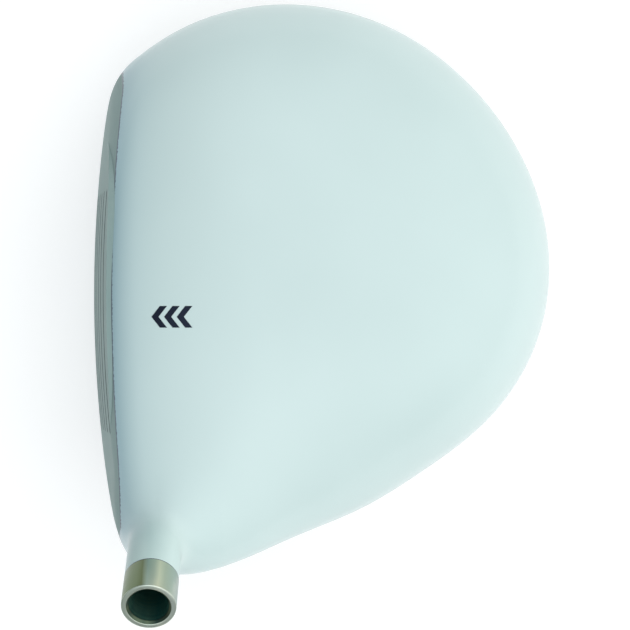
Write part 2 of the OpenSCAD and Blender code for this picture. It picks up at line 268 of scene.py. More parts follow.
def relaxed(points, tris, f, rounds):
    """Points evened out over the surface f = 0"""
    for _ in range(rounds):
        total = np.zeros_like(points)
        count = np.zeros(len(points))
        for a, b in ((0, 1), (1, 2), (2, 0), (1, 0), (2, 1), (0, 2)):
            np.add.at(total, tris[:, a], points[tris[:, b]])
            np.add.at(count, tris[:, a], 1)
        edge = np.sort(np.concatenate([tris[:, [0, 1]], tris[:, [1, 2]], tris[:, [2, 0]]]), 1)
        pair, uses = np.unique(edge, axis=0, return_counts=True)
        held = np.zeros(len(points), bool)
        held[pair[uses == 1].ravel()] = True
        moved = onto(0.5 * points + 0.5 * total / np.maximum(count, 1)[:, None], f, 1)
        points = np.where(held[:, None], points, moved)
    return onto(points, f)


class Skin:
    """Triangles on a surface. cut() splits them along a line and tags each with its side of it."""

    def __init__(self, points, tris, surface, step):
        self.points, self.tris, self.surface = points, tris, surface
        self.near = 0.22 * step
        self.locked = np.zeros(len(points), bool)
        self.tags = {}

    def cut(self, name, line):
        """Split along line = 0. Points close to it move onto it, and other crossed edges get a new point."""
        value = line(self.points)
        band = np.abs(value) < 6 * self.near
        slope = np.ones(len(value))
        n = slope_of(self.surface, self.points[band])
        n /= np.linalg.norm(n, axis=1)[:, None]
        g = slope_of(line, self.points[band])
        slope[band] = np.linalg.norm(g - n * (g * n).sum(1)[:, None], axis=1)
        distance = np.abs(value) / np.maximum(slope, 0.05)
        snap = (distance < self.near) & ~self.locked
        if snap.any():
            self.points[snap] = onto_both(self.points[snap], self.surface, line)
        on_line = snap | (self.locked & (distance < 0.02))
        value[on_line] = 0
        self.locked |= on_line
        # Turn each crossed triangle so that its odd corner, or the one on the line, comes first
        sign = np.sign(value)[self.tris].astype(int)
        mixed = (sign.min(1) < 0) & (sign.max(1) > 0)
        work, sides = self.tris[mixed], sign[mixed]
        total = sides.sum(1)
        lead = np.where(total == 0, (sides == 0).argmax(1), (sides == -total[:, None]).argmax(1))
        turn = (lead[:, None] + np.arange(3)) % 3
        work = np.take_along_axis(work, turn, 1)
        sides = np.take_along_axis(sides, turn, 1)
        # Triangles with a corner on the line fall into two, and the others into three
        halves = total == 0
        two, one = work[halves], work[~halves]
        edges = np.concatenate([two[:, [1, 2]], one[:, [0, 1]], one[:, [0, 2]]])
        kept_rows = [np.flatnonzero(~mixed)]
        kept_tris = [self.tris[~mixed]]
        kept_side = [sign[~mixed].sum(1) > 0]
        if len(edges):
            pair, back = np.unique(np.sort(edges, 1), axis=0, return_inverse=True)
            back = back.ravel()
            va, vb = value[pair[:, 0]], value[pair[:, 1]]
            t = (va / (va - vb))[:, None]
            fresh = self.points[pair[:, 0]] * (1 - t) + self.points[pair[:, 1]] * t
            made = onto_both(fresh, self.surface, line)
            stray = np.linalg.norm(made - fresh, axis=1) > 3 * self.near
            made[stray] = fresh[stray]
            first = len(self.points)
            self.points = np.concatenate([self.points, made])
            self.locked = np.concatenate([self.locked, np.ones(len(made), bool)])
            m = first + back[: len(two)]
            ab = first + back[len(two) : len(two) + len(one)]
            ac = first + back[len(two) + len(one) :]
            rows = np.flatnonzero(mixed)
            a, b, c = two.T
            kept_tris += [np.stack([a, b, m], 1), np.stack([a, m, c], 1)]
            kept_side += [sides[halves][:, 1] > 0, sides[halves][:, 2] > 0]
            kept_rows += [rows[halves], rows[halves]]
            a, b, c = one.T
            lead_side = sides[~halves][:, 0] > 0
            kept_tris += [np.stack([a, ab, ac], 1), np.stack([ab, b, c], 1), np.stack([ab, c, ac], 1)]
            kept_side += [lead_side, ~lead_side, ~lead_side]
            kept_rows += [rows[~halves]] * 3
        rows = np.concatenate(kept_rows)
        self.tags = {k: v[rows] for k, v in self.tags.items()}
        self.tris = np.concatenate(kept_tris)
        self.tags[name] = np.concatenate(kept_side)


# ---------------------------------------------------------------------------------------------
# Objects


def make_object(name, points, faces, mats, face_mat=None, normals=None, fields=None, sharp=None):
    """A mesh object from points in millimetres.

    normals has a row for each corner, or is None to shade smooth up to the sharp angle.
    """
    mesh = bpy.data.meshes.new(name)
    mesh.from_pydata((np.asarray(points) * MM).tolist(), [], [list(map(int, f)) for f in faces])
    for m in mats:
        mesh.materials.append(m)
    if face_mat is not None:
        mesh.polygons.foreach_set("material_index", np.asarray(face_mat, np.int32))
    mesh.polygons.foreach_set("use_smooth", np.ones(len(faces), bool))
    for field, values in (fields or {}).items():
        spot = mesh.attributes.new(field, "FLOAT", "POINT")
        spot.data.foreach_set("value", np.asarray(values, np.float32))
    if normals is not None:
        mesh.normals_split_custom_set(normals.tolist())
    elif sharp is not None:
        mesh.set_sharp_from_angle(angle=sharp)
    mesh.update()
    obj = bpy.data.objects.new(name, mesh)
    bpy.context.scene.collection.objects.link(obj)
    return obj


def used_only(points, tris):
    """The points that the triangles use, the triangles renumbered to suit, and which points they are"""
    keep, back = np.unique(tris, return_inverse=True)
    return points[keep], back.reshape(tris.shape), keep


def thick_piece(name, points, tris, out, wall, mats, face_mat, fields=None, inner=None):
    """A closed shell: the given skin, the same let in by wall or by inner(), and a rim round every edge"""
    points, tris, keep = used_only(points, tris)
    out = out[keep]
    inside = points - out * wall if inner is None else inner(points)
    n = len(points)
    edge = np.concatenate([tris[:, [0, 1]], tris[:, [1, 2]], tris[:, [2, 0]]])
    owner = np.tile(np.arange(len(tris)), 3)
    both = np.sort(edge, 1)
    _, back, uses = np.unique(both, axis=0, return_inverse=True, return_counts=True)
    rim_at = uses[back.ravel()] == 1
    a, b = edge[rim_at].T
    rim = np.stack([b, a, a + n, b + n], 1)
    everything = np.concatenate([points, inside])
    faces = [*tris.tolist(), *(tris[:, ::-1] + n).tolist(), *rim.tolist()]
    across = everything[rim[:, 1]] - everything[rim[:, 0]]
    down = everything[rim[:, 3]] - everything[rim[:, 0]]
    flat = np.cross(across, down)
    flat /= np.maximum(np.linalg.norm(flat, axis=1), 1e-9)[:, None]
    normals = np.concatenate([out[tris.ravel()], -out[tris[:, ::-1].ravel()], np.repeat(flat, 4, 0)])
    mat = np.concatenate([face_mat, face_mat, face_mat[owner[rim_at]]])
    doubled = {k: np.tile(v[keep], 2) for k, v in (fields or {}).items()}
    return make_object(name, everything, faces, mats, mat, normals, doubled)


def frame_of(origin, z_axis, x_axis):
    """A place for lathe(): an origin and three axes"""
    z = np.array(z_axis, float) / np.linalg.norm(z_axis)
    x = np.array(x_axis, float) - z * np.dot(x_axis, z)
    x /= np.linalg.norm(x)
    return np.array(origin, float), np.stack([x, np.cross(z, x), z])


def lathe(name, profile, place, mats, columns=128, radius=None, mat_of=None, sharp=radians(28)):
    """A turned piece from a closed profile of (r, z). radius(r, z, turn) may bend it away from round."""
    origin, turned = place
    turn = np.arange(columns) * 2 * pi / columns
    rings, first, points = [], 0, []
    for r, z in profile:
        if r < 1e-6:
            points.append([[0, 0, z]])
            rings.append([first])
            first += 1
        else:
            wide = np.full(columns, float(r)) if radius is None else radius(r, z, turn)
            points.append(np.stack([wide * np.cos(turn), wide * np.sin(turn), np.full(columns, float(z))], 1))
            rings.append(list(range(first, first + columns)))
            first += columns
    faces, mat = [], []
    for k in range(len(rings)):
        a, b = rings[k], rings[(k + 1) % len(rings)]
        if len(a) == 1 and len(b) == 1:
            continue
        for i in range(columns):
            j = (i + 1) % columns
            corners = [a[i % len(a)], a[j % len(a)], b[j % len(b)], b[i % len(b)]]
            faces.append(list(dict.fromkeys(corners)))
            mat.append(mat_of[k] if mat_of else 0)
    return make_object(name, origin + np.concatenate(points) @ turned, faces, mats, mat, sharp=sharp)


# ---------------------------------------------------------------------------------------------
# Materials. Their lengths are in metres.

HOSEL_TURN = (0, pi / 2 - LIE, 0)
MOUTH_AT = tuple(MOUTH * MM)


class Paint:
    """Builds one node material"""

    def __init__(self, name):
        self.mat = bpy.data.materials.new(name)
        self.mat.use_nodes = True
        self.nodes = self.mat.node_tree.nodes
        self.links = self.mat.node_tree.links
        self.shader = self.nodes["Principled BSDF"]
        self.coords = self.nodes.new("ShaderNodeTexCoord").outputs["Object"]

    def set(self, **values):
        for key, v in values.items():
            self.shader.inputs[key.replace("_", " ")].default_value = (*v, 1) if isinstance(v, tuple) else v
        return self

    def placed(self, scale, turn=(0, 0, 0), at=(0, 0, 0)):
        """Object coordinates, moved, turned and stretched"""
        node = self.nodes.new("ShaderNodeMapping")
        node.vector_type = "TEXTURE"
        node.inputs["Location"].default_value = at
        node.inputs["Rotation"].default_value = turn
        node.inputs["Scale"].default_value = [1 / s for s in scale]
        self.links.new(self.coords, node.inputs["Vector"])
        return node.outputs["Vector"]

    def along_hosel(self):
        """X, Y and Z from the middle of the hosel's mouth, Z up the hosel"""
        local = self.nodes.new("ShaderNodeSeparateXYZ")
        self.links.new(self.placed((1, 1, 1), HOSEL_TURN, MOUTH_AT), local.inputs["Vector"])
        return local.outputs

    def nearness(self, centre, reach, turn):
        """1 at the centre, falling to 0 at the reach along each axis"""
        node = self.nodes.new("ShaderNodeTexGradient")
        node.gradient_type = "SPHERICAL"
        self.links.new(self.placed([1 / r for r in reach], turn, centre), node.inputs["Vector"])
        return node.outputs["Fac"]

    def noise(self, vector, detail=3, rough=0.5):
        node = self.nodes.new("ShaderNodeTexNoise")
        node.inputs["Scale"].default_value = 1
        node.inputs["Detail"].default_value = detail
        node.inputs["Roughness"].default_value = rough
        self.links.new(vector, node.inputs["Vector"])
        return node.outputs["Fac"]

    def math(self, kind, a, b=0.0):
        node = self.nodes.new("ShaderNodeMath")
        node.operation = kind
        for k, v in enumerate((a, b)):
            if isinstance(v, (int, float)):
                node.inputs[k].default_value = v
            else:
                self.links.new(v, node.inputs[k])
        return node.outputs[0]

    def field(self, name):
        node = self.nodes.new("ShaderNodeAttribute")
        node.attribute_name = name
        return node.outputs["Fac"]

    def ramp(self, fac, *stops):
        """Colours, or greys, at places from 0 to 1"""
        node = self.nodes.new("ShaderNodeValToRGB")
        while len(node.color_ramp.elements) < len(stops):
            node.color_ramp.elements.new(0.5)
        for spot, (place, colour) in zip(node.color_ramp.elements, stops):
            spot.position = place
            spot.color = (*colour, 1) if isinstance(colour, tuple) else (colour, colour, colour, 1)
        self.links.new(fac, node.inputs["Fac"])
        return node.outputs["Color"]

    def mix(self, fac, a, b):
        node = self.nodes.new("ShaderNodeMix")
        node.data_type = "RGBA"
        for socket, v in ((node.inputs["Factor"], fac), (node.inputs["A"], a), (node.inputs["B"], b)):
            if isinstance(v, tuple):
                socket.default_value = (*v, 1)
            elif isinstance(v, (int, float)):
                socket.default_value = v
            else:
                self.links.new(v, socket)
        return node.outputs["Result"]

    def into(self, socket, value):
        self.links.new(value, self.shader.inputs[socket])
        return self

    def bump(self, height, depth):
        node = self.nodes.new("ShaderNodeBump")
        node.inputs["Distance"].default_value = depth
        self.links.new(height, node.inputs["Height"])
        self.links.new(node.outputs["Normal"], self.shader.inputs["Normal"])
        return self


def white_lacquer():
    """Cool white lacquer, with painted shade towards its end at the face, a dotted dark line of painted
    shadow along that end, and painted shade and highlight across the neck
    """
    p = Paint("white_lacquer")
    p.set(Roughness=0.35, Coat_Weight=0.4, Coat_Roughness=0.06, Coat_IOR=1.45, Specular_IOR_Level=0.2)
    cloud = p.noise(p.placed((22, 22, 22)), 2)
    body = p.ramp(cloud, (0.3, (0.605, 0.735, 0.722)), (0.7, (0.645, 0.775, 0.762)))
    neck_width = 0.018
    across = p.math("ADD", p.math("MULTIPLY", p.along_hosel()["Y"], 1 / neck_width), 0.5)
    # Painted shade and highlight across the neck: darker on its front, lighter behind it
    neck_shade_and_highlight = p.ramp(
        across, (0, (0.27, 0.43, 0.42)), (0.25, (0.37, 0.52, 0.50)), (0.45, (0.54, 0.69, 0.66)),
        (0.75, (0.74, 0.88, 0.85)), (1, (0.62, 0.75, 0.735)),
    )
    neck_at = tuple((MOUTH - 12 * AXIS) * MM)
    neck_shade_weight = p.ramp(p.nearness(neck_at, (0.016, 0.016, 0.015), HOSEL_TURN), (0, 0.0), (0.45, 1.0))
    body = p.mix(neck_shade_weight, body, neck_shade_and_highlight)
    away = p.math("ABSOLUTE", p.field("border"))
    # Painted shade: the lacquer darkens towards its end at the face, where the crown rounds down
    edge_painted_shade = p.math("POWER", 0.79, away)
    shaded = p.mix(edge_painted_shade, body, (0.34, 0.50, 0.55))
    # A dotted dark line along the lacquer's end: painted shadow of a thin gap there
    dots = p.noise(p.placed((2600, 2600, 2600)), 1)
    edge = p.math("LESS_THAN", away, p.math("MULTIPLY", dots, 0.5))
    p.into("Base Color", p.mix(edge, shaded, (0.13, 0.16, 0.2)))
    peel = p.noise(p.placed((420, 420, 420)), 2)
    return p.bump(peel, 0.000012).mat


def milled_titanium():
    """The face: dull metal with a fine grain from heel to toe"""
    p = Paint("milled_titanium")
    p.set(Metallic=0.3, Specular_IOR_Level=0.3)
    grain = p.noise(p.placed((60, 900, 3200)), 4, 0.6)
    cloud = p.noise(p.placed((45, 45, 45)), 3)
    tone = p.math("ADD", p.math("MULTIPLY", grain, 0.5), p.math("MULTIPLY", cloud, 0.5))
    p.into("Base Color", p.ramp(tone, (0.3, (0.23, 0.32, 0.31)), (0.7, (0.30, 0.395, 0.38))))
    p.into("Roughness", p.ramp(grain, (0.3, 0.55), (0.7, 0.7)))
    return p.bump(grain, 0.00001).mat


def turned_metal(name, dark, light, rough, pitch, depth, at, turn):
    """Metal with fine lathe marks, pitch millimetres apart, round an axis, and stains that run along it"""
    p = Paint(name)
    p.set(Metallic=1.0)
    rings = p.noise(p.placed((60, 60, 1 / (pitch * MM)), turn, at), 2, 0.6)
    cloud = p.noise(p.placed((200, 200, 200 / 15), turn, at), 2)
    tone = p.math("ADD", p.math("MULTIPLY", rings, 0.3), p.math("MULTIPLY", cloud, 0.7))
    p.into("Base Color", p.ramp(tone, (0.38, dark), (0.62, light)))
    p.into("Roughness", p.ramp(rings, (0.3, rough[0]), (0.7, rough[1])))
    return p.bump(rings, depth).mat


def collar_painted_reflections():
    """Turned titanium with painted reflections in light and dark bands along the hosel, and a dark line where
    the paint ends
    """
    p = Paint("collar_painted_reflections")
    p.set(Metallic=1.0)
    local = p.along_hosel()
    reflection_wobble = p.noise(p.placed((150, 150, 60), HOSEL_TURN, MOUTH_AT), 3)
    across = p.math("ADD", p.math("MULTIPLY", local["Y"], 0.5 / (COLLAR_R * MM)), 0.5)
    place = p.math("ADD", across, p.math("MULTIPLY", p.math("SUBTRACT", reflection_wobble, 0.5), 0.12))
    # Painted reflections across the collar: dark olive stripes to the front, a bright cream band, grey-green
    # to the rear
    tint = p.ramp(
        place, (0, (0.155, 0.20, 0.12)), (0.28, (0.15, 0.19, 0.11)), (0.38, (0.125, 0.155, 0.08)),
        (0.48, (0.33, 0.41, 0.34)), (0.6, (0.46, 0.50, 0.40)), (0.7, (0.70, 0.68, 0.51)),
        (0.8, (0.52, 0.54, 0.42)), (0.93, (0.46, 0.52, 0.45)), (1, (0.28, 0.36, 0.33)),
    )
    rim = p.math("GREATER_THAN", local["Z"], -0.0002)
    tint = p.mix(p.math("MULTIPLY", rim, 0.7), tint, (0.60, 0.66, 0.58))
    paint_end = p.math("LESS_THAN", local["Z"], (0.2 - COLLAR_LENGTH) * MM)
    p.into("Base Color", p.mix(paint_end, tint, (0.04, 0.04, 0.08)))
    rings = p.noise(p.placed((60, 60, 8000), HOSEL_TURN, MOUTH_AT), 2, 0.6)
    p.into("Roughness", p.ramp(rings, (0.3, 0.28), (0.7, 0.38)))
    return p.bump(rings, 0.000002).mat


def brushed_sole():
    """Satin metal, brushed from heel to toe"""
    p = Paint("brushed_sole")
    p.set(Metallic=1.0, Anisotropic=0.5)
    grain = p.noise(p.placed((30, 1400, 1400)), 4, 0.6)
    cloud = p.noise(p.placed((35, 35, 35)), 3)
    tone = p.math("ADD", p.math("MULTIPLY", grain, 0.6), p.math("MULTIPLY", cloud, 0.4))
    p.into("Base Color", p.ramp(tone, (0.32, (0.30, 0.32, 0.32)), (0.68, (0.46, 0.48, 0.47))))
    p.into("Roughness", p.ramp(grain, (0.3, 0.26), (0.7, 0.4)))
    return p.bump(grain, 0.000008).mat


def grainy(name, dark, light, rough, size, depth, **extra):
    """Cast metal, rubber, nylon, glue or paint with a fine random grain of the given size in millimetres"""
    p = Paint(name)
    p.set(**extra)
    fine = 1 / (size * MM)
    grain = p.noise(p.placed((fine, fine, fine)), 4, 0.6)
    cloud = p.noise(p.placed((90, 90, 90)), 2)
    tone = p.math("ADD", p.math("MULTIPLY", grain, 0.4), p.math("MULTIPLY", cloud, 0.6))
    p.into("Base Color", p.ramp(tone, (0.35, dark), (0.65, light)))
    p.into("Roughness", p.ramp(grain, (0.3, rough[0]), (0.7, rough[1])))
    return p.bump(grain, depth).mat


white = white_lacquer()
face_metal = milled_titanium()
sole_metal = brushed_sole()
collar_metal = collar_painted_reflections()
bore_metal = turned_metal(
    "reamed_bore", (0.05, 0.26, 0.25), (0.22, 0.42, 0.33), (0.4, 0.6), 0.2, 0.00001, MOUTH_AT, HOSEL_TURN
)
# The chamfer at the mouth is a darker copy of the bore's metal: painted shade
shaded_chamfer_metal = turned_metal(
    "chamfer_painted_shade", (0.02, 0.05, 0.05), (0.14, 0.17, 0.10), (0.35, 0.5), 0.2, 0.00001, MOUTH_AT, HOSEL_TURN
)
cast_metal = grainy(
    "cast_titanium", (0.22, 0.22, 0.21), (0.36, 0.36, 0.34), (0.5, 0.68), 0.5, 0.00003, Metallic=1.0
)
screw_steel = grainy(
    "black_oxide_steel", (0.06, 0.06, 0.065), (0.13, 0.13, 0.14), (0.28, 0.42), 0.35, 0.00001, Metallic=1.0
)
rubber = grainy("black_rubber", (0.012, 0.012, 0.012), (0.03, 0.03, 0.03), (0.55, 0.7), 0.2, 0.00001)
nylon = grainy("black_nylon", (0.02, 0.022, 0.022), (0.05, 0.05, 0.05), (0.45, 0.6), 0.3, 0.00001)
glue = grainy(
    "hot_melt_glue", (0.42, 0.33, 0.15), (0.58, 0.48, 0.24), (0.25, 0.4), 3, 0.0001, Subsurface_Weight=0.2
)
line_paint = grainy("score_line_paint", (0.012, 0.02, 0.022), (0.03, 0.04, 0.045), (0.35, 0.5), 0.3, 0.00001)
navy = grainy(
    "navy_print", (0.002, 0.006, 0.02), (0.004, 0.012, 0.034), (0.4, 0.5), 0.4, 0.000004,
    Specular_IOR_Level=0.25,
)

# ---------------------------------------------------------------------------------------------
# The body's skin

STEP = 1.1
BOX_LOW = (-76, -48.2, -2.3)
BOX_HIGH = (75, 72, 71)
points, tris = surface_net(head_gap, BOX_LOW, BOX_HIGH, STEP)
points = relaxed(onto(points, head_gap), tris, head_gap, 3)
skin = Skin(points, tris, head_gap, STEP)


def collar_line(p):
    """The paint's end below the bare collar, and nothing away from the hosel"""
    return np.where(hosel_gap(p) < 4, hosel_down(p) - COLLAR_LENGTH, FAR)


def cone_line(p):
    """The seam between the neck and the shells"""
    return np.linalg.norm(p - ROOT, axis=1) * cos(NECK_CONE) - (p - ROOT) @ AXIS


def frame_line(p):
    """The seam behind the face frame"""
    return p[:, 1] - face_y(p[:, 0], p[:, 2], FRAME_DEPTH)


def crown_line(p):
    """The seam between crown and skirt"""
    e = mid_z(p[:, 0], p[:, 1])
    return p[:, 2] - e - (top_z(p[:, 1]) - e) * cos(CROWN_SEAM)


def sole_line(p):
    """The seam between skirt and sole"""
    x, y, z = p.T
    seam_q = sin(SOLE_SEAM) ** (2 / PLAN_POWER)
    return z - mid_z(x, y) * (1 - sole_curve(seam_q, y) / sole_curve(REST_Q, y))


def widest_line(p):
    return p[:, 2] - mid_z(p[:, 0], p[:, 1])


def paint_line(p):
    """Paint lies behind a line that runs along the top of the face and follows its loft down the sides"""
    x, y, z = p.T
    start = 47 - 0.003 * x**2
    along_top = soft_min((x + 2) ** 2 / 1300 - 37.5, -35.9, 0.8)
    return y - along_top - LOFT_SLOPE * np.minimum(0, z - start)


def heel_line(p):
    """Paint covers the face's end at the hosel too"""
    return (p - np.array([56.5, -35.7, 43])) @ np.array([0.85, 0, 0.52])


def insert_line(p):
    """The insert's edge, a rounded oblong on the face"""
    x, y, z = p.T
    power = 2.8
    across = (np.abs((x - 2) / 39) ** power + np.abs((z - 31) / 21.5) ** power) ** (1 / power)
    return 20 * (across - 1) + np.where(y > -20, FAR, 0)


PORT_AXIS = np.array([0, -sin(PORT_TILT), cos(PORT_TILT)])
PORT_AT = np.array([0, 40, float(sole_z(np.array([0.0]), np.array([40.0]))[0])])


def port_line(p):
    """The hole for the weight port, with a gap of 0.02 round it"""
    from_axis = np.linalg.norm(np.cross(p - PORT_AT, PORT_AXIS), axis=1)
    return from_axis - PORT_R - 0.02 + np.where(p[:, 2] > 20, FAR, 0)


for name, line in (
    ("below_collar", collar_line), ("off_neck", cone_line), ("behind_frame", frame_line),
    ("above_skirt", crown_line), ("above_sole", sole_line), ("upper", widest_line), ("painted", paint_line),
    ("heel_paint", heel_line), ("off_insert", insert_line), ("off_port", port_line),
):
    skin.cut(name, line)

tag = skin.tags
out = slope_of(head_gap, skin.points)
out /= np.linalg.norm(out, axis=1)[:, None]
border = {"border": np.maximum(paint_line(skin.points), heel_line(skin.points))}
bare = (~tag["painted"] & ~tag["heel_paint"]).astype(int)
neck = tag["below_collar"] & ~tag["off_neck"]
rest = tag["below_collar"] & tag["off_neck"]
shell = rest & tag["behind_frame"]


def skin_piece(name, mask, wall, mats, mat, nodes):
    """The part of the skin that mask picks, made wall thick, in place of the head's CAD nodes"""
    obj = thick_piece(name, skin.points, skin.tris[mask], out, wall, mats, mat[mask], border)
    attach(obj, "head")
    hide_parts(*nodes)
    return obj


CROWN_WALL, SKIRT_WALL, SOLE_WALL, NECK_WALL, FRAME_WALL = 0.8, 1.0, 1.2, 0.65, 1.4
above_skirt, above_sole = tag["above_skirt"], tag["above_sole"]
band = shell & ~above_skirt & above_sole
ring = rest & ~tag["behind_frame"] & tag["off_insert"]
below_skirt = shell & ~above_sole & tag["off_port"]
painted = [white, face_metal]
plain = np.zeros(len(skin.tris), int)
skin_piece("crown", shell & above_skirt, CROWN_WALL, painted, bare, ["crown_plate"])
skin_piece("skirt", band, SKIRT_WALL, painted, bare, ["skirt_band"])
skin_piece("sole", below_skirt, SOLE_WALL, [sole_metal], plain, ["sole_plate"])
skin_piece("neck", neck, NECK_WALL, painted, bare, ["hosel_neck"])
skin_piece("face_ring", ring, FRAME_WALL, painted, bare, ["face_frame"])

# ---------------------------------------------------------------------------------------------
# The face insert, with its grooves cut in, and their paint

SCORE_FROM, SCORE_TO = -23.5, 32
SCORE_TOP, SCORE_PITCH, SCORE_COUNT = 47.5, 5, 7
SCORE_WIDTH, SCORE_DEPTH = 0.9, 0.35
SCORE_WALL = 0.12
half = SCORE_WIDTH / 2
score_heights = [SCORE_TOP - SCORE_PITCH * i for i in range(SCORE_COUNT)]


def groove_depth(x, z):
    """How deep the grooves go at a place on the face: flat floors, steep walls and round ends"""
    deep = np.zeros_like(x)
    for h in score_heights:
        past = np.maximum(np.maximum(SCORE_FROM + half - x, x - SCORE_TO + half), 0)
        wall = half - np.hypot(past, z - h)
        deep = np.maximum(deep, np.clip(wall / SCORE_WALL, 0, 1) * SCORE_DEPTH)
    return deep


def smooth_face(p):
    return face_y(p[:, 0], p[:, 2]) - p[:, 1]


# Rows of points follow the grooves' walls and ends, with others between the grooves and beyond them
z_rows = sorted(
    {round(h + d, 3) for h in score_heights for d in (-half, -half + SCORE_WALL, 0, half - SCORE_WALL, half)}
    | {round(h + d, 3) for h in score_heights + [57.5, 52.5, 12.5, 7.5] for d in (-1.9, -1.2, -3.1)}
)
x_rows = sorted(
    {round(v, 3) for v in np.arange(-40.5, 45, 1.5)}
    | {round(end + half * k / 3, 3) for end in (SCORE_FROM, SCORE_TO) for k in range(-3, 4)}
)
gx, gz = np.meshgrid(x_rows, z_rows, indexing="ij")
flat = np.stack([gx.ravel(), np.zeros(gx.size), gz.ravel()], 1)
flat[:, 1] = face_y(flat[:, 0], flat[:, 2], groove_depth(flat[:, 0], flat[:, 2]))
rows = len(z_rows)
corner = (np.arange(len(x_rows) - 1)[:, None] * rows + np.arange(rows - 1)).ravel()
lower = np.stack([corner, corner + rows, corner + rows + 1], 1)
upper = np.stack([corner, corner + rows + 1, corner + 1], 1)
insert = Skin(flat, np.concatenate([lower, upper]), smooth_face, STEP)
insert.near = 0.05
insert.cut("off_insert", insert_line)
kept = insert.tris[~insert.tags["off_insert"]]
away = slope_of(smooth_face, insert.points)
away /= np.linalg.norm(away, axis=1)[:, None]
centre = insert.points[kept].mean(1)
floor_mat = (groove_depth(centre[:, 0], centre[:, 2]) > 0.02).astype(int)


def insert_back(p):
    back = p.copy()
    back[:, 1] = face_y(p[:, 0], p[:, 2], FACE_THICK)
    return back


insert_mats = [face_metal, line_paint]
face_plate = thick_piece(
    "face_plate", insert.points, kept, away, FACE_THICK, insert_mats, floor_mat, inner=insert_back
)
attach(face_plate, "head")
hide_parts("face_insert")

# ---------------------------------------------------------------------------------------------
# Hosel collar, port, washer and screw


def rounded(corners, cuts, steps=4):
    """A closed profile whose corners are rounded by the given amounts"""
    line = []
    for k, (spot, cut) in enumerate(zip(corners, cuts)):
        spot = np.array(spot, float)
        if not cut:
            line.append(tuple(spot))
            continue
        before, after = np.array(corners[k - 1], float), np.array(corners[(k + 1) % len(corners)], float)
        a = spot + (before - spot) / np.linalg.norm(before - spot) * cut
        b = spot + (after - spot) / np.linalg.norm(after - spot) * cut
        for s in range(steps + 1):
            t = s / steps
            line.append(tuple((1 - t) ** 2 * a + 2 * t * (1 - t) * spot + t**2 * b))
    return line


hosel = frame_of(MOUTH, AXIS, ACROSS)
TUBE_R, CHAMFER_R, BORE_R, BORE_DEPTH = 5.3, 4.95, 4.31, 32
bore_corners = [
    (BORE_R + 0.3, -35), (TUBE_R, -35), (TUBE_R, -COLLAR_LENGTH), (COLLAR_R, -COLLAR_LENGTH), (COLLAR_R, 0),
    (CHAMFER_R, 0), (BORE_R, -0.6), (BORE_R, -BORE_DEPTH), (BORE_R + 0.3, -BORE_DEPTH),
]
bore_profile = rounded(bore_corners, [0, 0, 0, 0.08, 0.32, 0.12, 0.15, 0, 0])
chamfer_from = next(k for k, (r, z) in enumerate(bore_profile) if r < CHAMFER_R and z > -1)
inner_from = next(k for k, (r, z) in enumerate(bore_profile) if r < BORE_R + 0.02 and z > -1)
collar_mats = [collar_metal, shaded_chamfer_metal, bore_metal]
bore_mats = [(k >= chamfer_from) + (k >= inner_from) for k in range(len(bore_profile))]
collar = lathe("collar", bore_profile, hosel, collar_mats, 144, mat_of=bore_mats)
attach(collar, "head")
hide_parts("hosel_tube")

port = frame_of(PORT_AT, PORT_AXIS, (1, 0, 0))
port_metal = turned_metal(
    "turned_port", (0.3, 0.31, 0.3), (0.46, 0.46, 0.44), (0.26, 0.4), 0.12, 0.000006,
    tuple(PORT_AT * MM), (PORT_TILT, 0, 0),
)
CUP_R, THREAD_BORE_R = 7.1, 4.06
port_corners = [
    (CUP_R, 0.3), (PORT_R, 0.3), (PORT_R, 3), (8.1, 6.2), (THREAD_BORE_R + 2, 6.2), (THREAD_BORE_R + 2, 14.6),
    (0, 14.6), (0, 13.4), (THREAD_BORE_R, 13.4), (THREAD_BORE_R, 4.6), (CUP_R, 4.6),
]
port_profile = rounded(port_corners, [0.3, 0.25, 0.4, 0.4, 0.3, 0.4, 0, 0, 0, 0.1, 0.1])
port_cup = lathe("port_cup", port_profile, port, [port_metal])
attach(port_cup, "head")
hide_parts("weight_port")

WASHER_IN, WASHER_OUT, WASHER_LOW, WASHER_HIGH = 4.1, 6.6, 3.98, 4.58
washer_corners = [
    (WASHER_IN, WASHER_LOW), (WASHER_OUT, WASHER_LOW), (WASHER_OUT, WASHER_HIGH), (WASHER_IN, WASHER_HIGH)
]
washer_profile = rounded(washer_corners, [0.12] * 4)
washer = lathe("washer", washer_profile, port, [rubber], 96)
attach(washer, "weight_washer")
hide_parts("weight_washer")

SCREW_R, SCREW_ROOT, SCREW_LENGTH, PITCH, UNDER_HEAD = 4, 3.4, 8, 1.25, 3.96
HEAD_R, HEAD_LOW, SOCKET_R, SOCKET_DEPTH = 6.6, 0.6, 2.9, 2.8


def screw_radius(r, z, turn):
    """Thread on the shank, a hexagon in the socket, round elsewhere"""
    if z > UNDER_HEAD + 0.01:
        lap = (z - UNDER_HEAD) / PITCH - turn / (2 * pi)
        crest = np.clip(1.35 - 3.2 * np.abs(lap - np.floor(lap) - 0.5), 0, 1)
        fade = np.clip((z - UNDER_HEAD) / 0.5, 0, 1) * np.clip((UNDER_HEAD + SCREW_LENGTH - z) / 0.9, 0, 1)
        return SCREW_ROOT + (SCREW_R - 0.02 - SCREW_ROOT) * crest * fade + (r - SCREW_ROOT)
    if r <= SOCKET_R + 0.5:
        side = (turn + pi / 6) % (pi / 3) - pi / 6
        return r * cos(pi / 6) / np.cos(side)
    return np.full_like(turn, float(r))


